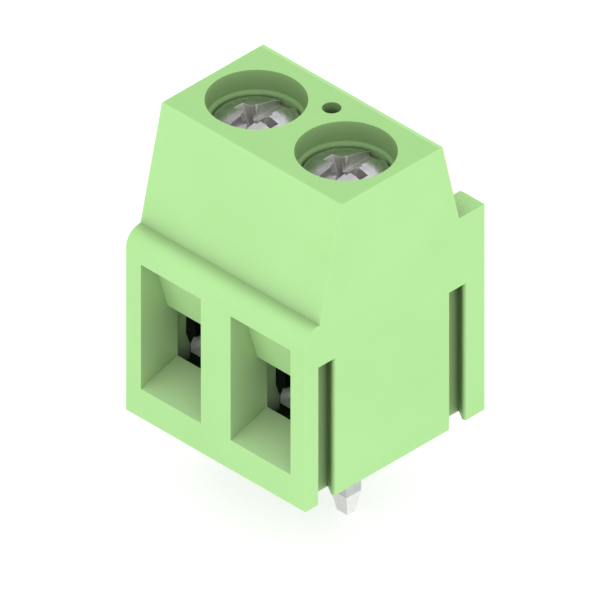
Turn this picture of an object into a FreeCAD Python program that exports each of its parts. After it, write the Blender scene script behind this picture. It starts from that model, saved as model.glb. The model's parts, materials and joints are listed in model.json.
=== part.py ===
import FreeCAD, Part
import math
import os
import re
import Sketcher

# A two-pole screw terminal for circuit boards, clamping-yoke type, 5 mm pitch.
# The frame: origin on the board's surface, midway between the two solder pins.
# X runs along the row of poles, -Y is the side the wires enter, +Z is up to the screws.
# A turn of the clamp screw lifts the cage, which pulls the wire up against the contact bar.

# Each driving dimension: name, value in millimetres (or a plain count), meaning.
SIZES = [
    ("poles", 2, "wire positions side by side"),
    ("pitch", 5.0, "from pole to pole"),
    ("front_reach", 4.77, "front face to the pin row"),
    ("body_depth", 10.0, "front face to rear face"),
    ("body_height", 13.8, "board to top face"),
    ("plate_height", 8.6, "top of the thick front plate"),
    ("plate_ledge", 0.8, "depth of the step on top of the front plate"),
    ("plate_round", 0.75, "rounding of the front plate's upper edge"),
    ("top_front", 2.0, "front face to the top face"),
    ("top_rear", 2.34, "rear face to the far edge of the top face"),
    ("flange_height", 9.9, "top of the rear flange"),
    ("flange_depth", 1.42, "rear face to the foot of the rear slope"),
    ("lug_width", 1.6, "raised end lug of the rear flange"),
    ("lug_round", 0.45, "rounding of a lug's inner edge"),
    ("saddle_depth", 1.0, "drop between the lugs"),
    ("funnel_width", 3.35, "wire funnel, side to side"),
    ("funnel_sill", 1.4, "bottom of the funnel mouth"),
    ("funnel_top", 7.38, "top of the funnel mouth"),
    ("funnel_depth", 2.05, "front face to the funnel's inner end"),
    ("funnel_floor", 2.0, "funnel floor at its inner end"),
    ("brow_start", 0.69, "depth where the funnel's upper face starts to slope"),
    ("brow_foot", 1.5, "depth of the slope's lower edge"),
    ("brow_height", 4.68, "height of the slope's lower edge"),
    ("bore_diameter", 4.1, "screwdriver bore in the top face"),
    ("bore_depth", 0.89, "straight part of the screwdriver bore"),
    ("bore_shoulder", 0.17, "rounded shoulder below the screwdriver bore"),
    ("head_room", 3.72, "bore round the screw head"),
    ("hole_diameter", 0.78, "blind hole between the poles"),
    ("hole_offset", 1.7, "blind hole behind the screws' line"),
    ("hole_depth", 2.0, "blind hole"),
    ("slot_height", 6.6, "joining slots, from the board up"),
    ("slot_depth", 0.65, "joining slots, into the side"),
    ("slot_mouth", 0.79, "joining slots at the side face"),
    ("slot_undercut", 0.39, "how far a slot widens rearwards at its floor"),
    ("slot_round", 0.12, "rounding of a slot's undercut lip"),
    ("front_slot", 0.72, "front face to the front slot"),
    ("rear_slot", 1.98, "rear face to the front side of the rear slot"),
    ("joint_gap", 0.05, "clearance of a joining rib in its slot"),
    ("thread_diameter", 2.5, "clamp screw thread"),
    ("thread_pitch", 0.45, "rise in one turn"),
    ("thread_gap", 0.03, "radial clearance between screw and cage thread"),
    ("full_turns", 5.5, "turns from open to shut"),
    ("screw_point", 0.35, "bevel at the screw's end"),
    ("head_diameter", 3.5, "screw head"),
    ("head_height", 1.5, "screw head without its dome"),
    ("dome_height", 0.4, "dome on the screw head"),
    ("head_drop", 1.05, "top face down to the head's rim"),
    ("drive_slot_width", 0.74, "slot across the screw head"),
    ("drive_slot_depth", 0.62, "slot floor below the dome's top"),
    ("cross_width", 0.48, "wing of the cross recess at the dome's top"),
    ("cross_reach", 1.08, "axis to the wing's end at the dome's top"),
    ("cross_depth", 1.25, "cross recess below the dome's top"),
    ("cross_slope", 26.5, "slope of a wing's end, in degrees"),
    ("wing_slope", 4, "slope of a wing's sides, in degrees"),
    ("core_width", 0.98, "square core of the cross recess at the dome's top"),
    ("core_slope", 16, "slope of the core's sides, in degrees"),
    ("cage_width", 3.7, "clamping cage, outside"),
    ("cage_length", 4.14, "clamping cage along the wire"),
    ("cage_base", 1.86, "underside of the open cage"),
    ("cage_wall", 0.5, "cage side and floor"),
    ("cage_head", 1.4, "tapped top of the cage"),
    ("foot_width", 3.26, "cage underside, side to side"),
    ("floor_width", 2.2, "cage floor between its slanted sides"),
    ("slant_rise", 0.78, "cage underside to where its sides turn upright"),
    ("slant_height", 0.36, "slanted part of the cage's side, outside"),
    ("slant_round", 0.25, "outer rounding above the slanted part"),
    ("foot_round", 0.1, "outer rounding of the cage's underside"),
    ("lead_depth", 0.4, "lead-in on the cage floor's front edge"),
    ("lead_spread", 0.07, "how far the lead-in widens the window's sides"),
    ("lead_land", 0.04, "front face left below and beside the lead-in"),
    ("window_corner", 0.15, "inner corner under the tapped top"),
    ("head_corner", 0.3, "outer corner of the tapped top"),
    ("side_gap", 0.05, "cage to the side of its room"),
    ("end_gap", 0.1, "cage to the ends of its room and to the bar above"),
    ("strip_width", 2.2, "contact strip"),
    ("strip_thickness", 0.84, "contact strip"),
    ("strip_gap", 0.05, "contact strip to the side of its channel"),
    ("bar_height", 5.0, "underside of the contact bar"),
    ("bend_round", 0.3, "inside of the strip's bends"),
    ("leg_gap", 0.05, "cage room to the strip's rear leg"),
    ("tongue_start", 0.5, "narrow tongue behind the pin"),
    ("pin_width", 0.88, "solder pin along the row"),
    ("pin_length", 3.5, "solder pin below the board's upper side"),
    ("point_length", 1.0, "tapered end of the pin"),
    ("point_taper", 0.14, "taper on each narrow side of the pin's end"),
    ("face_taper", 0.2, "taper on the front and back of the pin's end"),
]

# Places worked out from those dimensions, as expressions.
width = "(pitch * poles)"
first_pole = "(-pitch * (poles - 1) / 2)"
rear = "(body_depth - front_reach)"
throat_front = "(funnel_depth - front_reach)"
cage_front = "(-cage_length / 2)"
room_front = f"({cage_front} - end_gap)"
room_rear = "(cage_length / 2 + end_gap)"
leg_front = f"({room_rear} + leg_gap)"
leg_rear = f"({leg_front} + strip_thickness)"
bar_top = "(bar_height + strip_thickness)"
cage_floor = "(cage_base + cage_wall)"
slant_top = "(cage_base + slant_rise)"
slant_foot = f"({slant_top} - slant_height)"
cage_under = f"({bar_top} + end_gap)"
cage_top = f"({cage_under} + cage_head)"
lift = "(full_turns * thread_pitch)"
room_top = f"({cage_top} + {lift} + end_gap)"
rim = "(body_height - head_drop)"
crown = f"({rim} + dome_height)"
half_pin = "(strip_thickness / 2)"
slot_rows = (("front", "(front_slot - front_reach)"), ("rear", f"({rear} - rear_slot)"))

doc = FreeCAD.newDocument("screw_terminal")
sheet = doc.addObject("Spreadsheet::Sheet", "Sizes")
names = {name for name, number, meaning in SIZES}


def fill_sheet():
    for row, (name, number, meaning) in enumerate(SIZES, start=1):
        sheet.set(f"A{row}", meaning)
        sheet.set(f"B{row}", str(number))
        sheet.setAlias(f"B{row}", name)
    doc.recompute()


def swap_names(expression, change):
    return re.sub(r"[a-z_]+", lambda word: change(word[0]) if word[0] in names else word[0], expression)


def link(expression):
    # the same expression, reading its names from the sheet
    return swap_names(expression, lambda name: f"Sizes.{name}")


def value(expression):
    # the number that an expression comes to
    text = swap_names(expression, lambda name: str(sheet.get(name)))
    return FreeCAD.Units.parseQuantity(text).Value


def new_body(label):
    body = doc.addObject("PartDesign::Body", label)
    body.Label = label
    return body


def plane(body, role):
    return next(item for item in body.Origin.OriginFeatures if item.Role == role)


def new_sketch(body, role, name, offset="0"):
    sketch = body.newObject("Sketcher::SketchObject", name)
    sketch.AttachmentSupport = [(plane(body, role), "")]
    sketch.MapMode = "FlatFace"
    sketch.setExpression("AttachmentOffset.Base.z", link(offset))
    return sketch


def bind(sketch, kind, *items):
    # one named dimension of a sketch, tied to an expression
    *geometry, expression = items
    number = sketch.addConstraint(Sketcher.Constraint(kind, *geometry, value(expression)))
    sketch.renameConstraint(number, f"{kind}_{number}")
    sketch.setExpression(f"Constraints.{kind}_{number}", link(expression))


def bind_point(sketch, geometry, end, place):
    bind(sketch, "DistanceX", -1, 1, geometry, end, place[0])
    bind(sketch, "DistanceY", -1, 1, geometry, end, place[1])


def outline(body, role, name, corners, offset="0", arc_side=None):
    # A closed outline. A corner is (across, up) or (across, up, radius).
    # The side arc_side, if given, is an arc centred on the sketch's upright axis.
    sketch = new_sketch(body, role, name, offset)
    count = len(corners)
    points = [FreeCAD.Vector(value(c[0]), value(c[1]), 0) for c in corners]
    tangents = []
    for index, corner in enumerate(corners):
        radius = value(corner[2]) if len(corner) > 2 else 0.0
        back = (points[index - 1] - points[index]).normalize()
        ahead = (points[(index + 1) % count] - points[index]).normalize()
        reach = radius / math.tan(back.getAngle(ahead) / 2)
        tangents.append((points[index] + back * reach, points[index] + ahead * reach))
    for index in range(count):
        start, end = tangents[index][1], tangents[(index + 1) % count][0]
        if index == arc_side:
            sketch.addGeometry(dome_arc(start, end), False)
            sketch.addConstraint(Sketcher.Constraint("PointOnObject", index, 3, -2))
        else:
            sketch.addGeometry(Part.LineSegment(start, end), False)
    for index, corner in enumerate(corners):
        before = (index - 1) % count
        if len(corner) == 2:
            sketch.addConstraint(Sketcher.Constraint("Coincident", before, 2, index, 1))
            bind_point(sketch, index, 1, corner)
            continue
        bend, first_end, second_end = add_bend(sketch, points[index], tangents[index], value(corner[2]))
        sketch.addConstraint(Sketcher.Constraint("Tangent", before, 2, bend, first_end))
        sketch.addConstraint(Sketcher.Constraint("Tangent", index, 1, bend, second_end))
        bind(sketch, "Radius", bend, corner[2])
        mark = sketch.addGeometry(Part.Point(points[index]), True)
        sketch.addConstraint(Sketcher.Constraint("PointOnObject", mark, 1, before))
        sketch.addConstraint(Sketcher.Constraint("PointOnObject", mark, 1, index))
        bind_point(sketch, mark, 1, corner)
    return sketch


def dome_arc(start, end):
    # the arc from start to end whose centre lies on the upright axis through the sketch's origin
    middle = (start + end) / 2
    normal = FreeCAD.Vector(start.y - end.y, end.x - start.x, 0)
    centre = FreeCAD.Vector(0, middle.y - normal.y * middle.x / normal.x, 0)
    radius = (start - centre).Length
    bulge = centre + (middle - centre).normalize() * radius
    return Part.Arc(start, bulge, end)


def add_bend(sketch, corner, ends, radius):
    # an arc that rounds a corner, and which of its ends comes first along the outline
    first, second = ends
    inwards = ((first + second) / 2 - corner).normalize()
    half_angle = (first - corner).getAngle(inwards)
    centre = corner + inwards * (radius / math.sin(half_angle))
    arc = Part.Arc(first, centre - inwards * radius, second)
    bend = sketch.addGeometry(arc, False)
    away = [sketch.getPoint(bend, end).distanceToPoint(first) for end in (1, 2)]
    return (bend, 1, 2) if away[0] < away[1] else (bend, 2, 1)


def box_outline(body, name, left, right, front, back, offset="0"):
    corners = [(left, front), (right, front), (right, back), (left, back)]
    return outline(body, "XY_Plane", name, corners, offset)


def volume(body):
    return body.Tip.Shape.Volume if body.Tip else 0.0


def feature(body, kind, name, sketch, settings, expressions):
    # One PartDesign feature on a sketch. It must change the body's volume, or it points the wrong way.
    before = volume(body)
    item = body.newObject(f"PartDesign::{kind}", name)
    item.Profile = sketch
    for key, setting in settings.items():
        setattr(item, key, setting)
    for key, expression in expressions.items():
        item.setExpression(key, link(expression))
    doc.recompute()
    change = volume(body) - before
    grows = kind in ("Pad", "Revolution", "AdditiveLoft")
    if change == 0 or (change > 0) != grows:
        raise RuntimeError(f"{name} changes the volume by {change:.4f}")
    return item


def pad_across(body, name, sketch, length):
    return feature(body, "Pad", name, sketch, {"SideType": "Symmetric"}, {"Length": length})


def cut_across(body, name, sketch, length):
    return feature(body, "Pocket", name, sketch, {"SideType": "Symmetric"}, {"Length": length})


def cut_up(body, name, sketch, length):
    return feature(body, "Pocket", name, sketch, {"Reversed": True}, {"Length": length})


def round_corners(body, name, base, sketch, corners, radius):
    # rounds the edges that run square to a sketch from the given corners of its outline
    normal = sketch.Placement.Rotation.multVec(FreeCAD.Vector(0, 0, 1))
    spots = [sketch.Placement.multVec(sketch.getPoint(corner, 1)) for corner in corners]
    picked = []
    for number, edge in enumerate(base.Shape.Edges, start=1):
        if not isinstance(edge.Curve, Part.Line) or edge.Curve.Direction.cross(normal).Length > 1e-6:
            continue
        start = edge.Vertexes[0].Point
        if any((start - spot).cross(normal).Length < 1e-5 for spot in spots):
            picked.append(f"Edge{number}")
    if not picked:
        raise RuntimeError(f"{name} finds no edge to round")
    item = body.newObject("PartDesign::Fillet", name)
    item.Base = (base, picked)
    item.setExpression("Radius", link(radius))
    doc.recompute()
    return item


def along_row(body, name, originals, length, count):
    # repeats cuts or ribs along X
    item = body.newObject("PartDesign::LinearPattern", name)
    item.Originals = originals
    item.Direction = (plane(body, "X_Axis"), [""])
    item.setExpression("Length", link(length))
    item.setExpression("Occurrences", link(count))
    body.Tip = item
    doc.recompute()
    return item


def housing_block(body):
    # side profile, with the thick front plate, the two sloping faces and the rear flange
    profile = outline(body, "YZ_Plane", "side_profile", [
        ("-front_reach", "0"),
        (rear, "0"),
        (rear, "flange_height"),
        (f"{rear} - flange_depth", "flange_height"),
        (f"{rear} - top_rear", "body_height"),
        ("top_front - front_reach", "body_height"),
        ("plate_ledge - front_reach", "plate_height"),
        ("-front_reach", "plate_height", "plate_round"),
    ])
    pad_across(body, "block", profile, width)


def rear_saddle(body):
    # the flange is lower between its end lugs, and the rear slope runs on down to it
    drop = "(flange_height - saddle_depth)"
    shift = "(saddle_depth * (top_rear - flange_depth) / (body_height - flange_height))"
    profile = outline(body, "YZ_Plane", "saddle_profile", [
        (f"{rear} - flange_depth + {shift}", drop),
        (f"{rear} + saddle_depth", drop),
        (f"{rear} + saddle_depth", "flange_height + saddle_depth"),
        (f"{rear} - flange_depth - {shift}", "flange_height + saddle_depth"),
    ])
    cut = cut_across(body, "saddle", profile, f"({width} - 2 * lug_width)")
    lugs = []
    for number, edge in enumerate(cut.Shape.Edges, start=1):
        box = edge.BoundBox
        level = abs(box.ZMin - value("flange_height")) < 1e-5 and box.ZLength < 1e-5
        inner = box.XLength < 1e-5 and abs(abs(box.XMin) - value(f"{width} / 2 - lug_width")) < 1e-5
        if level and inner:
            lugs.append(f"Edge{number}")
    item = body.newObject("PartDesign::Fillet", "lug_rounding")
    item.Base = (cut, lugs)
    item.setExpression("Radius", link("lug_round"))
    doc.recompute()


def joining_slots(body):
    # half-dovetail slots up the right side, square at the front and undercut at the rear
    side = f"({width} / 2)"
    for name, near in slot_rows:
        profile = outline(body, "XY_Plane", f"{name}_slot_profile", [
            (side, near),
            (side, f"{near} + slot_mouth"),
            (f"{side} - slot_depth", f"{near} + slot_mouth + slot_undercut"),
            (f"{side} - slot_depth", near),
        ])
        cut = cut_up(body, f"{name}_slot", profile, "slot_height")
        round_corners(body, f"{name}_slot_lip", cut, profile, [1], "slot_round")


def joining_ribs(body):
    # the matching ribs up the left side, which slide into a neighbour's slots
    side = f"({width} / 2)"
    for name, slot in slot_rows:
        near = f"({slot} + joint_gap)"
        mouth = "(slot_mouth - 2 * joint_gap)"
        profile = outline(body, "XY_Plane", f"{name}_rib_profile", [
            (f"-{side}", near),
            (f"-({side} + slot_depth - joint_gap)", near),
            (f"-({side} + slot_depth - joint_gap)", f"{near} + {mouth} + slot_undercut"),
            (f"-{side}", f"{near} + {mouth}"),
        ])
        feature(body, "Pad", f"{name}_rib", profile, {}, {"Length": "slot_height - 2 * joint_gap"})


def pole_cuts(body):
    # everything that one pole hollows out, then the same for the next poles
    funnel = outline(body, "YZ_Plane", "funnel_profile", [
        ("-front_reach", "funnel_sill"),
        (throat_front, "funnel_floor"),
        (throat_front, "brow_height"),
        ("brow_foot - front_reach", "brow_height"),
        ("brow_start - front_reach", "funnel_top"),
        ("-front_reach", "funnel_top"),
    ], first_pole)
    half_channel = "(strip_width / 2 + strip_gap)"
    channel = box_outline(body, "channel_profile", f"{first_pole} - {half_channel}",
                          f"{first_pole} + {half_channel}", throat_front, leg_rear)
    half_room = "(cage_width / 2 + side_gap)"
    left, right = f"{first_pole} - {half_room}", f"{first_pole} + {half_room}"
    throat = box_outline(body, "throat_profile", left, right, throat_front, "0")
    room = box_outline(body, "room_profile", left, right, room_front, room_rear)
    bore = outline(body, "XZ_Plane", "bore_profile", [
        ("0", f"{room_top} - end_gap"),
        ("head_room / 2", f"{room_top} - end_gap"),
        ("head_room / 2", "body_height - bore_depth", "bore_shoulder"),
        ("bore_diameter / 2", "body_height - bore_depth"),
        ("bore_diameter / 2", "body_height + bore_depth"),
        ("0", "body_height + bore_depth"),
    ])
    bore.setExpression("AttachmentOffset.Base.x", link(first_pole))
    cuts = [
        cut_across(body, "funnel", funnel, "funnel_width"),
        cut_up(body, "channel", channel, bar_top),
        cut_up(body, "throat", throat, "brow_height"),
        cut_up(body, "cage_room", room, room_top),
        feature(body, "Groove", "bore", bore, {"ReferenceAxis": (bore, ["V_Axis"])}, {}),
    ]
    along_row(body, "poles", cuts, "pitch * (poles - 1)", "poles")


def blind_hole(body):
    sketch = new_sketch(body, "XY_Plane", "hole_profile", "body_height")
    centre = FreeCAD.Vector(0, value("hole_offset"), 0)
    sketch.addGeometry(Part.Circle(centre, FreeCAD.Vector(0, 0, 1), value("hole_diameter / 2")), False)
    bind_point(sketch, 0, 3, ("0", "hole_offset"))
    bind(sketch, "Radius", 0, "hole_diameter / 2")
    feature(body, "Pocket", "blind_hole", sketch, {}, {"Length": "hole_depth"})


def make_housing():
    body = new_body("housing")
    housing_block(body)
    rear_saddle(body)
    joining_slots(body)
    joining_ribs(body)
    pole_cuts(body)
    blind_hole(body)
    return body


def make_screw(label):
    # cheese head with a low dome, turned shank, and a recess for a flat or a cross blade
    body = new_body(label)
    shank = "(thread_diameter / 2)"
    under = f"({rim} - head_height)"
    profile = outline(body, "XZ_Plane", "turned_profile", [
        ("0", bar_top),
        (f"{shank} - screw_point", bar_top),
        (shank, f"{bar_top} + screw_point"),
        (shank, under),
        ("head_diameter / 2", under),
        ("head_diameter / 2", rim),
        ("0", crown),
    ], arc_side=5)
    feature(body, "Revolution", "turned", profile, {"ReferenceAxis": (profile, ["V_Axis"])}, {})
    blade = outline(body, "XZ_Plane", "blade_profile", [
        ("-drive_slot_width / 2", f"{crown} - drive_slot_depth"),
        ("drive_slot_width / 2", f"{crown} - drive_slot_depth"),
        ("drive_slot_width / 2", f"{crown} + dome_height"),
        ("-drive_slot_width / 2", f"{crown} + dome_height"),
    ])
    cut_across(body, "blade_slot", blade, "2 * head_diameter")
    cross_recess(body)
    return body


def cross_recess(body):
    # two pairs of wings and a square core, all narrower towards the floor
    reach, half, core = "cross_reach", "cross_width / 2", "core_width / 2"
    for name, across, along, slopes in (
        ("row_wings", reach, half, ("cross_slope", "wing_slope")),
        ("wire_wings", half, reach, ("wing_slope", "cross_slope")),
        ("core", core, core, ("core_slope", "core_slope")),
    ):
        sections = []
        for level, depth in (("mouth", "0"), ("floor", "cross_depth")):
            x = f"({across} - {depth} * tan({slopes[0]}))"
            y = f"({along} - {depth} * tan({slopes[1]}))"
            sections.append(box_outline(body, f"{name}_{level}", f"-{x}", x, f"-{y}", y,
                                        f"{crown} - {depth}"))
        feature(body, "SubtractiveLoft", name, sections[0], {"Sections": sections[1:]}, {})


def make_cage(label):
    # a closed frame round the contact bar: thick tapped top, thin sides that slant in to the floor
    body = new_body(label)
    half, foot = "(cage_width / 2)", "(foot_width / 2)"
    frame = outline(body, "XZ_Plane", "frame_profile", [
        (f"-{foot}", "cage_base", "foot_round"),
        (foot, "cage_base", "foot_round"),
        (foot, slant_foot),
        (half, slant_top, "slant_round"),
        (half, cage_top, "head_corner"),
        (f"-{half}", cage_top, "head_corner"),
        (f"-{half}", slant_top, "slant_round"),
        (f"-{foot}", slant_foot),
    ])
    pad_across(body, "frame", frame, "cage_length")
    inner, floor = "(cage_width / 2 - cage_wall)", "(floor_width / 2)"
    window = outline(body, "XZ_Plane", "window_profile", [
        (f"-{floor}", cage_floor),
        (floor, cage_floor),
        (inner, slant_top),
        (inner, cage_under, "window_corner"),
        (f"-{inner}", cage_under, "window_corner"),
        (f"-{inner}", slant_top),
    ])
    cut_across(body, "window", window, "2 * cage_length")
    lead_in(body, inner, floor)
    sketch = new_sketch(body, "XY_Plane", "tapping_profile", cage_under)
    radius = "thread_diameter / 2 + thread_gap"
    sketch.addGeometry(Part.Circle(FreeCAD.Vector(), FreeCAD.Vector(0, 0, 1), value(radius)), False)
    bind_point(sketch, 0, 3, ("0", "0"))
    bind(sketch, "Radius", 0, radius)
    feature(body, "Pocket", "tapping", sketch, {"SideType": "Symmetric"}, {"Length": "3 * cage_head"})
    return body


def lead_in(body, inner, floor):
    # the floor's front edge and the foot of each side are thinned, so that a wire slides in
    mouth = [
        (f"({inner} + lead_spread)", f"({slant_top} + lead_spread)"),
        ("(foot_width / 2 - lead_land)", slant_foot),
        ("(foot_width / 2 - lead_land)", "(cage_base + lead_land)"),
    ]
    end = [
        (inner, slant_top),
        (f"(({inner} + {floor}) / 2)", f"(({slant_top} + {cage_floor}) / 2)"),
        (floor, cage_floor),
    ]
    sections = []
    for name, right, depth in (("lead_mouth", mouth, "0"), ("lead_end", end, "lead_depth")):
        left = [(f"-{across}", up) for across, up in reversed(right)]
        sections.append(outline(body, "XZ_Plane", name, right + left, f"-({cage_front} + {depth})"))
    feature(body, "SubtractiveLoft", "lead_in", sections[0], {"Sections": sections[1:]}, {})


def make_pin(label):
    # One strip: contact bar through the cage, rear leg, crank under the cage, and the pin below the screw.
    body = new_body(label)
    outer_round = "(bend_round + strip_thickness)"
    crank_top = f"({outer_round})"
    tongue = f"({half_pin} + bend_round + tongue_start)"
    strip = outline(body, "YZ_Plane", "strip_profile", [
        (f"{throat_front} + strip_gap", "bar_height"),
        (leg_front, "bar_height", "bend_round"),
        (leg_front, crank_top, "bend_round"),
        (tongue, crank_top),
        (tongue, "bend_round"),
        (leg_rear, "bend_round", outer_round),
        (leg_rear, bar_top, outer_round),
        (f"{throat_front} + strip_gap", bar_top),
    ])
    pad_across(body, "strip", strip, "strip_width")
    straight = "(point_length - pin_length)"
    pin = outline(body, "YZ_Plane", "pin_profile", [
        (tongue, "bend_round"),
        (tongue, crank_top),
        (f"-{half_pin}", crank_top, outer_round),
        (f"-{half_pin}", straight),
        (half_pin, straight),
        (half_pin, "bend_round", "bend_round"),
    ])
    pad_across(body, "pin", pin, "pin_width")
    sections = []
    for name, level, insets in (
        ("point_root", straight, ("0", "0")),
        ("point_end", "-pin_length", ("point_taper", "face_taper")),
    ):
        half_width = f"(pin_width / 2 - {insets[0]})"
        half_depth = f"({half_pin} - {insets[1]})"
        sections.append(box_outline(body, name, f"-{half_width}", half_width,
                                    f"-{half_depth}", half_depth, level))
    feature(body, "AdditiveLoft", "point", sections[0], {"Sections": sections[1:]}, {})
    return body


def check(body):
    broken = [item.Name for item in [body] + body.Group if {"Invalid", "Error"} & set(item.State)]
    shape = body.Shape
    if broken or shape.isNull() or not shape.isValid() or len(shape.Solids) != 1:
        raise RuntimeError(f"{body.Label} is not one sound solid: {broken}")


fill_sheet()
pieces = [make_housing()]
for pole in range(int(value("poles"))):
    for make, label in ((make_screw, "clamp_screw"), (make_cage, "clamp_cage"), (make_pin, "solder_pin")):
        piece = make(f"{label}_{pole + 1}")
        piece.setExpression("Placement.Base.x", link(f"{first_pole} + {pole} * pitch"))
        pieces.append(piece)
doc.recompute()

for piece in pieces:
    check(piece)

os.makedirs("parts", exist_ok=True)
for piece in pieces:
    piece.Shape.exportStep(f"parts/{piece.Label}.step")
    box = piece.Shape.BoundBox
    print(f"{piece.Label}: {piece.Shape.Volume:.3f} mm3, x {box.XMin:.3f} to {box.XMax:.3f}, "
          f"y {box.YMin:.3f} to {box.YMax:.3f}, z {box.ZMin:.3f} to {box.ZMax:.3f}")
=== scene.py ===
import json
import math
import bmesh
import bpy
from mathutils import Matrix, Vector

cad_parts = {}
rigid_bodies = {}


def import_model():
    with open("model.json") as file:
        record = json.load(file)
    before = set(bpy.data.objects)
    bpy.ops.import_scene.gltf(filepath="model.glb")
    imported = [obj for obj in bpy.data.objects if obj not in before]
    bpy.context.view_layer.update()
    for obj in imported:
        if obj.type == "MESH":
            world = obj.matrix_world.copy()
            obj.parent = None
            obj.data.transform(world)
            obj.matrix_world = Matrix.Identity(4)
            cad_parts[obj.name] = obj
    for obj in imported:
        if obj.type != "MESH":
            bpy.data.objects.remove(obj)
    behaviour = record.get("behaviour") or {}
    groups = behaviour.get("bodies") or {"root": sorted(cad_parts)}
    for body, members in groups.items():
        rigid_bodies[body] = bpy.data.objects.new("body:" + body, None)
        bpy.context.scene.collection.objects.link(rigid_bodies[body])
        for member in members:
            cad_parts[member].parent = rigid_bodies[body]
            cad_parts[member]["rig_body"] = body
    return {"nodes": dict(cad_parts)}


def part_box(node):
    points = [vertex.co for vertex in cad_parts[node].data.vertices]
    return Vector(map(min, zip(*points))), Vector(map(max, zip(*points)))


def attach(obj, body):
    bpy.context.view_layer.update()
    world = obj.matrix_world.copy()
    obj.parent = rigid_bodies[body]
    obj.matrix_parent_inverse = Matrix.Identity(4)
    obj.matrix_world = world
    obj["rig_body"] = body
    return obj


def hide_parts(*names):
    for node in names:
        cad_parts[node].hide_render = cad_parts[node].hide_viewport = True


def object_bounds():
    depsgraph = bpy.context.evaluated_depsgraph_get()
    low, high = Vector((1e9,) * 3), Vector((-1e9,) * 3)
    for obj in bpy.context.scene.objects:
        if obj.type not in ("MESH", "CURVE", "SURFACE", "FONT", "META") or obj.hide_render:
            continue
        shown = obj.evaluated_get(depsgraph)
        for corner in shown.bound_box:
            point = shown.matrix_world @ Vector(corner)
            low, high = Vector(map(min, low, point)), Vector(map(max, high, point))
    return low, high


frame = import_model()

# Screw terminal for a circuit board: pale green housing, plated screws and cages, tinned strips.
mm = 0.001
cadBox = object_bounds()
nodes = frame["nodes"]
poles = sorted(name[-1] for name in nodes if name.startswith("clamp_screw"))
print("frame read, poles", *poles)


def srgb(hexCode):  # an sRGB hex colour as linear RGBA
    channels = [int(hexCode[i:i + 2], 16) / 255 for i in (1, 3, 5)]
    return [c / 12.92 if c <= 0.04045 else ((c + 0.055) / 1.055) ** 2.4 for c in channels] + [1.0]


def addNode(tree, kind, settings=None, links=None):  # one shader node with its settings and incoming links
    made = tree.nodes.new(kind)
    for key, setting in (settings or {}).items():
        if key == "stops":      # the colours along a ramp
            elements = made.color_ramp.elements
            elements[0].position, elements[0].color = setting[0][0], srgb(setting[0][1])
            elements[1].position, elements[1].color = setting[-1][0], srgb(setting[-1][1])
            for place, colour in setting[1:-1]:
                elements.new(place).color = srgb(colour)
        elif isinstance(key, int) or key in made.inputs:
            made.inputs[key].default_value = setting
        else:
            setattr(made, key, setting)
    for key, source in (links or {}).items():
        tree.links.new(source, made.inputs[key])
    return made


def newMaterial(name):  # a material with an empty node tree
    made = bpy.data.materials.new(name)
    made.use_nodes = True
    made.node_tree.nodes.clear()
    return made, made.node_tree


polyamideLook = {
    "colour": "#B4EA98",
    "paler": "#B7ED9C",
    "cloudSize": 4.0 * mm,      # slow colour drift of dyed granulate
    "cloudRange": (0.35, 0.65),
    "grainSize": 0.09 * mm,     # spark-eroded mould texture, drawn a little coarse so that it shows
    "grainDepth": 0.0025 * mm,
    "roughness": (0.43, 0.51),
    "shine": 0.5,
    "scatterDepth": 0.4 * mm,   # a little light goes this far into the plastic
    # painted shade: the plastic is painted darker in its recesses, by how open they are within this reach
    "reach": 5.0 * mm,
    "rays": 16,
    "paintedShades": [(0.2, "#CBC2C8"), (0.27, "#F1E1F1"), (0.48, "#FCE6FA"), (0.66, "#FEF6FE"),
               (0.88, "#FAF6FA"), (0.98, "#FFFFFF")],
    # inner corners and narrow slots get more painted shade, outside the funnels
    "creaseReach": 1.5 * mm,
    "creasePaintedShades": [(0.24, "#CECECE"), (0.41, "#E4E4E4"), (0.7, "#DEDCDE"), (0.88, "#F0EDF0"),
                     (0.96, "#FFFFFF")],
    # the funnels end this far from the middle and this high
    "funnels": (4.25 * mm, 7.45 * mm),
    "floorPaintedLight": (1.08, 0.99, 1.17, 1),    # painted light: a funnel floor is painted lighter, as it looks up to the sky
    "wallPaintedShade": (0.9, 0.88, 0.95, 1),      # painted shade: a funnel wall is painted darker, as it looks at the one across
    # the screw bores end this far from the pin row
    "bores": 2.71 * mm,
    # painted shade in the bores, by openness
    "borePaintedShades": [(0.15, "#8A888A"), (0.25, "#D0C5D0"), (0.34, "#B4ADB0"), (0.5, "#C3BCBE"),
                   (0.95, "#FFFFFF")],
    "shoulderPaintedShade": (0.85, 0.88, 0.82, 1), # painted shade on faces that look up in the bores, as a shoulder has the screw head beside it; the top face between them takes it too
    # painted shade: the cage rooms are painted nearly black this far from the pin row, up to this height, and
    # fade over this
    "rooms": (1.8 * mm, 9.4 * mm, 0.1 * mm),
    "roomFoot": (2.7 * mm, 1.25 * mm, 1.9 * mm),
    "roomPaintedShade": "#282C27",
    "hollow": (0.9, 0.75),      # openness at which a wall starts to count as inside, and counts in full
    "facing": (0.5, 0.6),       # the same for a face that looks up or sideways
    "seam": 0.02 * mm,          # width over which one of these zones passes to the next
}


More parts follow.
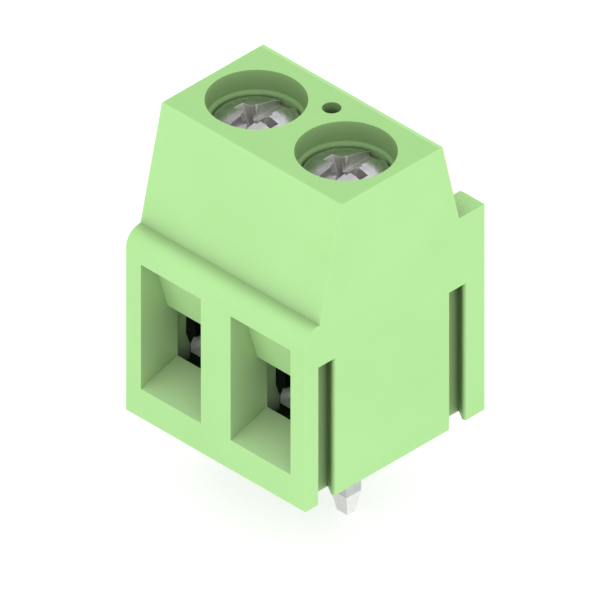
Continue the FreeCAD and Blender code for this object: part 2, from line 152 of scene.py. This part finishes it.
def darkRooms(tree, place, openness):  # where the cage rooms get painted shade: 1 on their walls, 0 outside them
    look = polyamideLook
    outside, inside = look["hollow"]
    fromPins = addNode(tree, "ShaderNodeMath", {"operation": "ABSOLUTE"}, {0: place.outputs["Y"]})
    shares = []
    for length, top, fade in (look["rooms"], look["roomFoot"]):
        near = addNode(tree, "ShaderNodeMapRange", {"From Min": length + look["seam"], "From Max": length},
                       {"Value": fromPins.outputs[0]})
        below = addNode(tree, "ShaderNodeMapRange", {"From Min": top + fade, "From Max": top},
                        {"Value": place.outputs["Z"]})
        shares.append(addNode(tree, "ShaderNodeMath", {"operation": "MULTIPLY"},
                              {0: near.outputs[0], 1: below.outputs[0]}))
    either = addNode(tree, "ShaderNodeMath", {"operation": "MAXIMUM"},
                     {0: shares[0].outputs[0], 1: shares[1].outputs[0]})
    hollow = addNode(tree, "ShaderNodeMapRange", {"From Min": outside, "From Max": inside},
                     {"Value": openness.outputs["AO"]})
    return addNode(tree, "ShaderNodeMath", {"operation": "MULTIPLY"},
                   {0: either.outputs[0], 1: hollow.outputs[0]})


def recessShade(tree, place, openness, dark):  # painted shade and light of funnels, bores, slots and rooms: what they leave of the colour
    look = polyamideLook
    seam = look["seam"]
    least, most = look["facing"]
    # floors and walls, told apart by where they face, for their painted light and shade
    facing = addNode(tree, "ShaderNodeSeparateXYZ",
                     links={0: addNode(tree, "ShaderNodeNewGeometry").outputs["Normal"]})
    upwards = addNode(tree, "ShaderNodeMapRange", {"From Min": least, "From Max": most},
                      {"Value": facing.outputs["Z"]})
    sideways = addNode(tree, "ShaderNodeMath", {"operation": "ABSOLUTE"}, {0: facing.outputs["X"]})
    onWalls = addNode(tree, "ShaderNodeMapRange", {"From Min": least, "From Max": most},
                      {"Value": sideways.outputs[0]})
    # the funnels
    side, top = look["funnels"]
    fromMiddle = addNode(tree, "ShaderNodeMath", {"operation": "ABSOLUTE"}, {0: place.outputs["X"]})
    between = addNode(tree, "ShaderNodeMapRange", {"From Min": side + seam, "From Max": side},
                      {"Value": fromMiddle.outputs[0]})
    under = addNode(tree, "ShaderNodeMapRange", {"From Min": top + seam, "From Max": top},
                    {"Value": place.outputs["Z"]})
    inFunnels = addNode(tree, "ShaderNodeMath", {"operation": "MULTIPLY"},
                        {0: between.outputs[0], 1: under.outputs[0]})
    floors = addNode(tree, "ShaderNodeMix", {"data_type": "RGBA", 6: (1, 1, 1, 1), 7: look["floorPaintedLight"]},
                     {0: upwards.outputs[0]})
    funnels = addNode(tree, "ShaderNodeMix", {"data_type": "RGBA", 7: look["wallPaintedShade"]},
                      {0: onWalls.outputs[0], 6: floors.outputs[2]})
    # painted shade in creases outside them, such as the joining slots
    creased = addNode(tree, "ShaderNodeAmbientOcclusion",
                      {"only_local": True, "samples": look["rays"], "Distance": look["creaseReach"]})
    crease = addNode(tree, "ShaderNodeValToRGB", {"stops": look["creasePaintedShades"]},
                     {"Fac": creased.outputs["AO"]})
    corners = addNode(tree, "ShaderNodeMix", {"data_type": "RGBA"},
                      {0: inFunnels.outputs[0], 6: crease.outputs["Color"], 7: funnels.outputs[2]})
    # painted shade: darker the less open a place is
    shade = addNode(tree, "ShaderNodeValToRGB", {"stops": look["paintedShades"]}, {"Fac": openness.outputs["AO"]})
    outer = addNode(tree, "ShaderNodeVectorMath", {"operation": "MULTIPLY"},
                    {0: shade.outputs["Color"], 1: corners.outputs[2]})
    # painted shade in the screw bores, which lie over the rooms
    reach = look["bores"]
    roomTop = look["rooms"][1]
    fromPins = addNode(tree, "ShaderNodeMath", {"operation": "ABSOLUTE"}, {0: place.outputs["Y"]})
    near = addNode(tree, "ShaderNodeMapRange", {"From Min": reach + seam, "From Max": reach},
                   {"Value": fromPins.outputs[0]})
    over = addNode(tree, "ShaderNodeMapRange", {"From Min": roomTop - seam, "From Max": roomTop},
                   {"Value": place.outputs["Z"]})
    inBores = addNode(tree, "ShaderNodeMath", {"operation": "MULTIPLY"},
                      {0: near.outputs[0], 1: over.outputs[0]})
    shoulders = addNode(tree, "ShaderNodeMix",
                        {"data_type": "RGBA", 6: (1, 1, 1, 1), 7: look["shoulderPaintedShade"]},
                        {0: upwards.outputs[0]})
    boreShade = addNode(tree, "ShaderNodeValToRGB", {"stops": look["borePaintedShades"]},
                        {"Fac": openness.outputs["AO"]})
    bores = addNode(tree, "ShaderNodeVectorMath", {"operation": "MULTIPLY"},
                    {0: boreShade.outputs["Color"], 1: shoulders.outputs[2]})
    recess = addNode(tree, "ShaderNodeMix", {"data_type": "RGBA"},
                     {0: inBores.outputs[0], 6: outer.outputs["Vector"], 7: bores.outputs["Vector"]})
    # painted shade in the rooms
    rooms = addNode(tree, "ShaderNodeVectorMath", {"operation": "MULTIPLY", 1: srgb(look["roomPaintedShade"])[:3]},
                    {0: recess.outputs[2]})
    return addNode(tree, "ShaderNodeMix", {"data_type": "RGBA"},
                   {0: dark.outputs[0], 6: recess.outputs[2], 7: rooms.outputs["Vector"]})


def mouldedPolyamide():  # polyamide from a finely eroded mould: even colour, satin, light enters it a little; painted shade and light in its recesses
    look = polyamideLook
    made, tree = newMaterial("moulded_polyamide")
    point = addNode(tree, "ShaderNodeTexCoord").outputs["Object"]
    place = addNode(tree, "ShaderNodeSeparateXYZ", links={0: point})
    least, most = look["cloudRange"]
    cloud = addNode(tree, "ShaderNodeTexNoise", {"Scale": 1 / look["cloudSize"], "Detail": 3.0},
                    {"Vector": point})
    colour = addNode(tree, "ShaderNodeValToRGB", {"stops": [(least, look["colour"]), (most, look["paler"])]},
                     {"Fac": cloud.outputs["Fac"]})
    openness = addNode(tree, "ShaderNodeAmbientOcclusion",
                       {"only_local": True, "samples": look["rays"], "Distance": look["reach"]})
    dark = darkRooms(tree, place, openness)
    # the painted shade and light of the recesses multiply the colour
    shaded = addNode(tree, "ShaderNodeVectorMath", {"operation": "MULTIPLY"},
                     {0: colour.outputs["Color"], 1: recessShade(tree, place, openness, dark).outputs[2]})
    # the rooms also lose their shine, with their painted shade
    shine = addNode(tree, "ShaderNodeMapRange", {"To Min": look["shine"], "To Max": 0.0},
                    {"Value": dark.outputs[0]})
    grain = addNode(tree, "ShaderNodeTexNoise", {"Scale": 1 / look["grainSize"], "Detail": 2.0},
                    {"Vector": point})
    bump = addNode(tree, "ShaderNodeBump", {"Strength": 0.6, "Distance": look["grainDepth"]},
                   {"Height": grain.outputs["Fac"]})
    smooth, matt = look["roughness"]
    rough = addNode(tree, "ShaderNodeMapRange", {"To Min": smooth, "To Max": matt},
                    {"Value": grain.outputs["Fac"]})
    shader = addNode(tree, "ShaderNodeBsdfPrincipled",
                     {"IOR": 1.53, "Subsurface Weight": 0.12, "Subsurface Scale": look["scatterDepth"],
                      "Subsurface Radius": (0.8, 1.0, 0.6)},
                     {"Base Color": shaded.outputs["Vector"], "Roughness": rough.outputs["Result"],
                      "Specular IOR Level": shine.outputs["Result"], "Normal": bump.outputs["Normal"]})
    addNode(tree, "ShaderNodeOutputMaterial", links={"Surface": shader.outputs[0]})
    return made


screwLook = {       # each finish: name, colour, duller colour, roughness, share of bare metal
    "finishes": [("zinc_plated_screw", "#D6D5D8", "#C2C1C4", 0.26, 1.0),
                 # the punched recess is duller, and painted a little lighter than the head as painted light
                 ("punched_recess", "#E5E2E2", "#D0CDCD", 0.36, 1.0),
                 # painted highlight: white, mostly non-metal lines along the edges in the head
                 ("raised_burr", "#FFFFFF", "#F2F2F2", 0.5, 0.2)],
    "recessDepth": 1.3 * mm,    # slot and cross end above this depth under the head's top
    "ringSpacing": 0.07 * mm,   # turning marks, drawn a little coarse so that they show
    "ringDepth": 0.001 * mm,
    "cloudSize": 0.5 * mm,      # uneven thickness of the zinc
    "cloudRange": (0.35, 0.65),
    "drift": (-0.02, 0.03),     # how far the roughness falls and rises with it
}


def zincPlated(name, colour, dull, roughness, metal, axisX):  # turned steel, bright zinc: fine rings, cloudy
    look = screwLook
    made, tree = newMaterial(name)
    coords = addNode(tree, "ShaderNodeTexCoord")
    point = addNode(tree, "ShaderNodeMapping", {"Location": (-axisX, 0, 0)},
                    {"Vector": coords.outputs["Object"]})
    # a wave repeats every 1/20 of a unit at scale 1
    rings = addNode(tree, "ShaderNodeTexWave",
                    {"wave_type": "RINGS", "rings_direction": "Z", "Scale": 1 / look["ringSpacing"] / 20,
                     "Distortion": 0.4, "Detail": 1.0}, {"Vector": point.outputs[0]})
    least, most = look["cloudRange"]
    cloud = addNode(tree, "ShaderNodeTexNoise", {"Scale": 1 / look["cloudSize"], "Detail": 4.0},
                    {"Vector": point.outputs[0]})
    tone = addNode(tree, "ShaderNodeValToRGB", {"stops": [(least, dull), (most, colour)]},
                   {"Fac": cloud.outputs["Fac"]})
    bump = addNode(tree, "ShaderNodeBump", {"Strength": 0.5, "Distance": look["ringDepth"]},
                   {"Height": rings.outputs["Fac"]})
    lower, higher = look["drift"]
    rough = addNode(tree, "ShaderNodeMapRange",
                    {"To Min": roughness + lower, "To Max": roughness + higher},
                    {"Value": cloud.outputs["Fac"]})
    shader = addNode(tree, "ShaderNodeBsdfPrincipled", {"Metallic": metal},
                     {"Base Color": tone.outputs["Color"], "Roughness": rough.outputs["Result"],
                      "Normal": bump.outputs["Normal"]})
    addNode(tree, "ShaderNodeOutputMaterial", links={"Surface": shader.outputs[0]})
    return made


cageLook = {        # each finish: name, painted shade from closed in to open, share of bare metal
    "finishes": [("zinc_plated_cage", [(0.0, "#202220"), (0.35, "#7C807C"), (0.8, "#FFFFFF")], 1.0),
                 # the rubbed trough is dull from the wires and painted lighter, with less painted shade than
                 # the rest
                 ("rubbed_trough_painted_light", [(0.05, "#606260"), (0.3, "#CBCDCB")], 0.1)],
    "colour": "#D2D2D1",
    "dull": "#BEBEBD",
    "reach": 6.0 * mm,          # painted shade: the cage stands in a dark room, so its colour is darkened by how closed in it is within this reach
    "rays": 16,
    "troughTop": 3.7 * mm,      # wires rub the inside up to here, which is also painted lighter
    "lineSpacing": 0.06 * mm,   # rolling lines of the strip, drawn a little coarse so that they show
    "lineDepth": 0.0012 * mm,
    "lineStretch": 0.08,        # they are long: the noise is stretched along the wire
    "lineRange": (0.3, 0.7),
    "roughness": (0.3, 0.42),
    "endFacing": 0.98,          # faces that look forwards or backwards more than this are sheared
    "upFacing": 0.1,            # those that look up more than this belong to the inside
}


def zincPlatedCage(name, paintedShades, metal):  # rolled steel strip, zinc plated: faint lines along the wire, satin, with painted shade by openness
    look = cageLook
    made, tree = newMaterial(name)
    coords = addNode(tree, "ShaderNodeTexCoord")
    stretched = addNode(tree, "ShaderNodeMapping", {"Scale": (1.0, look["lineStretch"], 1.0)},
                        {"Vector": coords.outputs["Object"]})
    lines = addNode(tree, "ShaderNodeTexNoise", {"Scale": 1 / look["lineSpacing"], "Detail": 2.0},
                    {"Vector": stretched.outputs[0]})
    least, most = look["lineRange"]
    tone = addNode(tree, "ShaderNodeValToRGB", {"stops": [(least, look["dull"]), (most, look["colour"])]},
                   {"Fac": lines.outputs["Fac"]})
    # painted shade: darker the more closed in the cage is
    openness = addNode(tree, "ShaderNodeAmbientOcclusion",
                       {"samples": look["rays"], "Distance": look["reach"]})
    shade = addNode(tree, "ShaderNodeValToRGB", {"stops": paintedShades}, {"Fac": openness.outputs["AO"]})
    shaded = addNode(tree, "ShaderNodeVectorMath", {"operation": "MULTIPLY"},
                     {0: tone.outputs["Color"], 1: shade.outputs["Color"]})
    bump = addNode(tree, "ShaderNodeBump", {"Strength": 0.5, "Distance": look["lineDepth"]},
                   {"Height": lines.outputs["Fac"]})
    smooth, matt = look["roughness"]
    rough = addNode(tree, "ShaderNodeMapRange", {"To Min": smooth, "To Max": matt},
                    {"Value": lines.outputs["Fac"]})
    shader = addNode(tree, "ShaderNodeBsdfPrincipled", {"Metallic": metal},
                     {"Base Color": shaded.outputs["Vector"], "Roughness": rough.outputs["Result"],
                      "Normal": bump.outputs["Normal"]})
    addNode(tree, "ShaderNodeOutputMaterial", links={"Surface": shader.outputs[0]})
    return made


shearedLook = {
    # painted shade: the sheared faces are painted near black
    "colour": "#131513",
    "torn": "#0B0C0B",
    "grainSize": 0.08 * mm,
    "grainDepth": 0.003 * mm,
    "grainRange": (0.4, 0.6),
    "roughness": (0.5, 0.7),
}


def shearedEdge():  # a cage's sheared faces: painted near black as shade, half polished and half torn, matt
    look = shearedLook
    made, tree = newMaterial("sheared_edge_painted_shade")
    coords = addNode(tree, "ShaderNodeTexCoord")
    grain = addNode(tree, "ShaderNodeTexNoise", {"Scale": 1 / look["grainSize"], "Detail": 3.0},
                    {"Vector": coords.outputs["Object"]})
    least, most = look["grainRange"]
    tone = addNode(tree, "ShaderNodeValToRGB", {"stops": [(least, look["torn"]), (most, look["colour"])]},
                   {"Fac": grain.outputs["Fac"]})
    bump = addNode(tree, "ShaderNodeBump", {"Strength": 0.6, "Distance": look["grainDepth"]},
                   {"Height": grain.outputs["Fac"]})
    smooth, matt = look["roughness"]
    rough = addNode(tree, "ShaderNodeMapRange", {"To Min": smooth, "To Max": matt},
                    {"Value": grain.outputs["Fac"]})
    shader = addNode(tree, "ShaderNodeBsdfPrincipled", {"Specular IOR Level": 0.1},
                     {"Base Color": tone.outputs["Color"], "Roughness": rough.outputs["Result"],
                      "Normal": bump.outputs["Normal"]})
    addNode(tree, "ShaderNodeOutputMaterial", links={"Surface": shader.outputs[0]})
    return made


stripLook = {       # each finish: name, colour, duller colour
    # one tin: the point's faces are painted light, its narrow sides painted highlight, and the faces that
    # look forwards or backwards painted shade
    "finishes": [("matt_tin", "#CFCFCF", "#C2C2C2"), ("coined_point_painted_light", "#DCDCDC", "#D4D4D4"),
                 ("coined_point_sides_painted_highlight", "#F4F4F4", "#EBEBEB"), ("rolled_tin_painted_shade", "#C5C5C5", "#B8B8B8")],
    "pointRoot": -2.5 * mm,     # below this the pin's point, pressed to shape, is painted light
    "sideFacing": 0.7,          # a face that looks sideways or forwards more than this counts as such
    "grainSize": 0.12 * mm,
    "grainDepth": 0.001 * mm,
    "grainRange": (0.35, 0.65),
    "roughness": (0.36, 0.44),
}


def tinnedStrip(name, colour, dull):  # matt tin plated on copper alloy: pale, soft, slightly mottled
    look = stripLook
    made, tree = newMaterial(name)
    coords = addNode(tree, "ShaderNodeTexCoord")
    grain = addNode(tree, "ShaderNodeTexNoise", {"Scale": 1 / look["grainSize"], "Detail": 3.0},
                    {"Vector": coords.outputs["Object"]})
    least, most = look["grainRange"]
    tone = addNode(tree, "ShaderNodeValToRGB", {"stops": [(least, dull), (most, colour)]},
                   {"Fac": grain.outputs["Fac"]})
    bump = addNode(tree, "ShaderNodeBump", {"Strength": 0.4, "Distance": look["grainDepth"]},
                   {"Height": grain.outputs["Fac"]})
    smooth, matt = look["roughness"]
    rough = addNode(tree, "ShaderNodeMapRange", {"To Min": smooth, "To Max": matt},
                    {"Value": grain.outputs["Fac"]})
    shader = addNode(tree, "ShaderNodeBsdfPrincipled", {"Metallic": 1.0},
                     {"Base Color": tone.outputs["Color"], "Roughness": rough.outputs["Result"],
                      "Normal": bump.outputs["Normal"]})
    addNode(tree, "ShaderNodeOutputMaterial", links={"Surface": shader.outputs[0]})
    return made


def dress(piece, material):
    piece.data.materials.clear()
    piece.data.materials.append(material)


edgeLook = {
    "screwBreak": 0.06 * mm,
    "cageBreak": 0.03 * mm,
    "stripBreak": 0.02 * mm,
    "mergeGap": 0.0005 * mm,
    "flatAngle": math.radians(0.5),     # triangles within this of each other are one flat face
    "sharpAngle": math.radians(28),     # edges sharper than this are broken
    "softAngle": math.radians(50),      # a broken edge and the faces beside it are closer than this
    "turnedAngle": math.radians(15),    # half the angle between two facets of a turned surface, or less
    "upright": 0.02,                    # a face that looks up or down less than this stands upright
    "screwBlend": math.radians(3),      # the flats of the recess stay flat
    "stripBlend": math.radians(25),     # the bends of folded strip are round
    "rimRadius": 1.75 * mm,
    "domeHeight": 0.4 * mm,
    "domeSlack": 0.012 * mm,            # how far a facet's corner may lie from the dome
}


def softenedCopy(nodeName, edgeBreak):  # a merged copy of a CAD piece with its sharp edges broken
    look = edgeLook
    shape = bmesh.new()
    shape.from_mesh(nodes[nodeName].data)
    bmesh.ops.remove_doubles(shape, verts=shape.verts, dist=look["mergeGap"])
    bmesh.ops.dissolve_limit(shape, angle_limit=look["flatAngle"], verts=shape.verts, edges=shape.edges,
                             use_dissolve_boundaries=False)
    sharp = [e for e in shape.edges
             if len(e.link_faces) == 2 and e.calc_face_angle() > look["sharpAngle"]]
    made = bmesh.ops.bevel(shape, geom=sharp, offset=edgeBreak, offset_type="OFFSET", segments=2,
                           profile=0.5, affect="EDGES", clamp_overlap=True, material=-1)
    for face in shape.faces:
        face.smooth = True
    return shape, set(made["faces"])


def turnedNormal(place, facing, centre, radius):  # the true direction of a screw's turned surface, or nothing
    look = edgeLook
    fromAxis = Vector((place.x - centre.x, place.y - centre.y, 0))
    standing = abs(facing.z) < look["upright"] and fromAxis.length > 0
    if standing and fromAxis.angle(facing) < look["turnedAngle"]:
        return fromAxis.normalized()
    outwards = place - centre
    onDome = outwards.z > 0 and abs(outwards.length - radius) < look["domeSlack"]
    return outwards.normalized() if onDome and outwards.angle(facing) < look["softAngle"] else None


# the wide faces rule, and their broken edges follow them
def cornerNormals(shape, broken, blendAngle, dome=None):
    soft = edgeLook["softAngle"]
    normals = []
    for face in shape.faces:
        for vert in face.verts:
            turned = turnedNormal(vert.co, face.normal, *dome) if dome else None
            if turned:
                normals.append(turned)
                continue
            near = [f for f in vert.link_faces if f.normal.angle(face.normal) < soft]
            wide = [f for f in near if f not in broken]
            if wide:
                lead = max(wide, key=lambda f: f.calc_area()) if face in broken else face
                near = [f for f in wide if f.normal.angle(lead.normal) < blendAngle]
            normals.append(sum((f.normal for f in near), Vector()).normalized())
    return normals


def finishPiece(shape, normals, pieceName, nodeName, slot, *materials):  # it stands for a CAD node
    mesh = bpy.data.meshes.new(pieceName)
    for material in materials:
        mesh.materials.append(material)
    shape.to_mesh(mesh)
    shape.free()
    mesh.normals_split_custom_set(normals)
    piece = bpy.data.objects.new(pieceName, mesh)
    bpy.context.scene.collection.objects.link(piece)
    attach(piece, nodes[nodeName]["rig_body"])
    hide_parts(nodeName)


def clampScrew(name, pole):  # bright all over, duller and painted lighter in the punched recess, with a painted highlight along its edges
    look = edgeLook
    low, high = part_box(name)
    axisX = (low.x + high.x) / 2
    radius = (look["rimRadius"] ** 2 + look["domeHeight"] ** 2) / (2 * look["domeHeight"])
    centre = Vector((axisX, 0, high.z - radius))
    shape, broken = softenedCopy(name, look["screwBreak"])
    bright, punchedPaintedLight, edgeHighlight = range(len(screwLook["finishes"]))
    for face in shape.faces:
        middle = face.calc_center_median()
        inHead = (middle.z > high.z - screwLook["recessDepth"]
                  and math.hypot(middle.x - axisX, middle.y) < look["rimRadius"] - look["screwBreak"])
        sunk = (middle - centre).length < radius - look["domeSlack"]
        if inHead and face in broken:
            face.material_index = edgeHighlight
        else:
            face.material_index = punchedPaintedLight if inHead and sunk else bright
    normals = cornerNormals(shape, broken, look["screwBlend"], (centre, radius))
    materials = [zincPlated(f"{kind}_{pole}", *tones, axisX) for kind, *tones in screwLook["finishes"]]
    finishPiece(shape, normals, f"screw_{pole}", name, "plated_screw", *materials)


def clampCage(name, pole, *materials):  # plated all over, painted near black as shade where it was sheared, dull where wires rub and painted lighter there
    look = cageLook
    shape, broken = softenedCopy(name, edgeLook["cageBreak"])
    low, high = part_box(name)
    plated, sheared, rubbedPaintedLight = range(len(materials))
    for face in shape.faces:
        middle = face.calc_center_median()
        inward = face.normal.z > look["upFacing"] or face.normal.x * (low.x + high.x - 2 * middle.x) > 0
        if abs(face.normal.y) > look["endFacing"]:
            face.material_index = sheared
        else:
            face.material_index = rubbedPaintedLight if inward and middle.z < look["troughTop"] else plated
    normals = cornerNormals(shape, broken, edgeLook["stripBlend"])
    finishPiece(shape, normals, f"cage_{pole}", name, "plated_cage", *materials)


# rolled and painted shade in front and behind, with a coined point painted light, and a painted highlight on
# its narrow sides
def solderStrip(name, pole, *materials):
    look = stripLook
    shape, broken = softenedCopy(name, edgeLook["stripBreak"])
    matt, pointPaintedLight, pointSidePaintedHighlight, frontBackPaintedShade = range(len(materials))
    for face in shape.faces:
        if face.calc_center_median().z < look["pointRoot"]:
            face.material_index = pointSidePaintedHighlight if abs(face.normal.x) > look["sideFacing"] else pointPaintedLight
        else:
            face.material_index = frontBackPaintedShade if abs(face.normal.y) > look["sideFacing"] else matt
    normals = cornerNormals(shape, broken, edgeLook["stripBlend"])
    finishPiece(shape, normals, f"strip_{pole}", name, "tinned_strip", *materials)


dress(nodes["housing"], mouldedPolyamide())
print("housing done")

platedCage, rubbedTroughPaintedLight = [zincPlatedCage(*finish) for finish in cageLook["finishes"]]
cageMaterials = [platedCage, shearedEdge(), rubbedTroughPaintedLight]
stripMaterials = [tinnedStrip(*finish) for finish in stripLook["finishes"]]
for pole in poles:
    clampScrew(f"clamp_screw_{pole}", pole)
    clampCage(f"clamp_cage_{pole}", pole, *cageMaterials)
    solderStrip(f"solder_pin_{pole}", pole, *stripMaterials)
print("screws, cages and strips done")


floorLook = {
    "half": 400 * mm,
    "level": cadBox[0][2],
    "white": "#F4F4F4",
    "shown": "#C4C4C4",         # what the camera and the mirroring metal see, with the glow added to it
    "glow": 0.66,
}


def paleFloor():
    look = floorLook
    shape = bmesh.new()
    bmesh.ops.create_grid(shape, x_segments=1, y_segments=1, size=look["half"],
                          matrix=Matrix.Translation((0, 0, look["level"])))
    mesh = bpy.data.meshes.new("floor")
    shape.to_mesh(mesh)
    shape.free()
    floor = bpy.data.objects.new("floor", mesh)
    bpy.context.scene.collection.objects.link(floor)
    made, tree = newMaterial("pale_floor")
    path = addNode(tree, "ShaderNodeLightPath")
    plain = addNode(tree, "ShaderNodeBsdfDiffuse", {"Color": srgb(look["white"])})
    shaded = addNode(tree, "ShaderNodeBsdfDiffuse", {"Color": srgb(look["shown"])})
    glow = addNode(tree, "ShaderNodeEmission", {"Strength": look["glow"]})
    shown = addNode(tree, "ShaderNodeAddShader", links={0: shaded.outputs[0], 1: glow.outputs[0]})
    seenOrMirrored = addNode(tree, "ShaderNodeMath", {"operation": "MAXIMUM"},
                             {0: path.outputs["Is Camera Ray"], 1: path.outputs["Is Glossy Ray"]})
    visible = addNode(tree, "ShaderNodeMath", {"operation": "MAXIMUM"},
                      {0: seenOrMirrored.outputs[0], 1: path.outputs["Is Transmission Ray"]})
    mixed = addNode(tree, "ShaderNodeMixShader",
                    links={"Fac": visible.outputs[0], 1: plain.outputs[0], 2: shown.outputs[0]})
    addNode(tree, "ShaderNodeOutputMaterial", links={"Surface": mixed.outputs[0]})
    dress(floor, made)


lightLook = {
    "level": 1.176,
    "zenith": 0.812,                    # dimmer overhead, so that upright and level faces match
    "cardPlace": (-0.83, 0.33, 0.45),   # a grey card to the left, which the screw heads mirror
    "cardEdge": (0.8, 0.93),
    "cardShade": 0.5,
    "lampPower": 0.004,
    "lampSize": 60 * mm,
    "lampPlace": (90 * mm, -90 * mm, 90 * mm),
}


def softLight():  # an even white sky and a soft lamp
    look = lightLook
    world = bpy.data.worlds.new("soft_white")
    bpy.context.scene.world = world
    world.use_nodes = True
    tree = world.node_tree
    tree.nodes.clear()
    coords = addNode(tree, "ShaderNodeTexCoord")
    height = addNode(tree, "ShaderNodeSeparateXYZ", links={0: coords.outputs["Generated"]})
    level = addNode(tree, "ShaderNodeMapRange",
                    {"To Min": look["level"], "To Max": look["level"] * look["zenith"]},
                    {"Value": height.outputs["Z"]})
    towardsCard = addNode(tree, "ShaderNodeVectorMath", {"operation": "DOT_PRODUCT", 1: look["cardPlace"]},
                          {0: coords.outputs["Generated"]})
    edge, full = look["cardEdge"]
    card = addNode(tree, "ShaderNodeMapRange",
                   {"From Min": edge, "From Max": full, "To Min": 1.0, "To Max": look["cardShade"]},
                   {"Value": towardsCard.outputs["Value"]})
    dimmed = addNode(tree, "ShaderNodeMath", {"operation": "MULTIPLY"},
                     {0: level.outputs["Result"], 1: card.outputs["Result"]})
    sky = addNode(tree, "ShaderNodeBackground", {"Color": (1, 1, 1, 1)}, {"Strength": dimmed.outputs[0]})
    addNode(tree, "ShaderNodeOutputWorld", links={"Surface": sky.outputs[0]})
    lamp = bpy.data.lights.new("soft_lamp", "AREA")
    lamp.shape = "DISK"
    lamp.size = look["lampSize"]
    lamp.energy = look["lampPower"]
    holder = bpy.data.objects.new("soft_lamp", lamp)
    place = Vector(look["lampPlace"])
    holder.location = place
    holder.rotation_euler = (-place).to_track_quat("-Z", "Y").to_euler()
    bpy.context.scene.collection.objects.link(holder)


cameraLook = {
    "azimuth": 45.0,            # degrees round from the front, towards the right side
    "elevation": 35.0,
    "aim": (-0.048 * mm, -0.018 * mm, 5.372 * mm),   # what stands at the centre of the frame
    "frameWidth": 23.665 * mm,
    "distance": 200 * mm,
    "clip": (1 * mm, 2000 * mm),
}


def photoCamera():
    look = cameraLook
    turn, tilt = math.radians(look["azimuth"]), math.radians(look["elevation"])
    towards = Vector((math.sin(turn) * math.cos(tilt), -math.cos(turn) * math.cos(tilt), math.sin(tilt)))
    data = bpy.data.cameras.new("photo_camera")
    data.type = "ORTHO"
    data.ortho_scale = look["frameWidth"]
    data.clip_start, data.clip_end = look["clip"]
    camera = bpy.data.objects.new("photo_camera", data)
    camera.location = Vector(look["aim"]) + towards * look["distance"]
    camera.rotation_euler = (-towards).to_track_quat("-Z", "Y").to_euler()
    bpy.context.scene.collection.objects.link(camera)
    bpy.context.scene.camera = camera


paleFloor()
softLight()
photoCamera()
bpy.context.scene.view_settings.view_transform = "Standard"
print("floor, light and camera done")
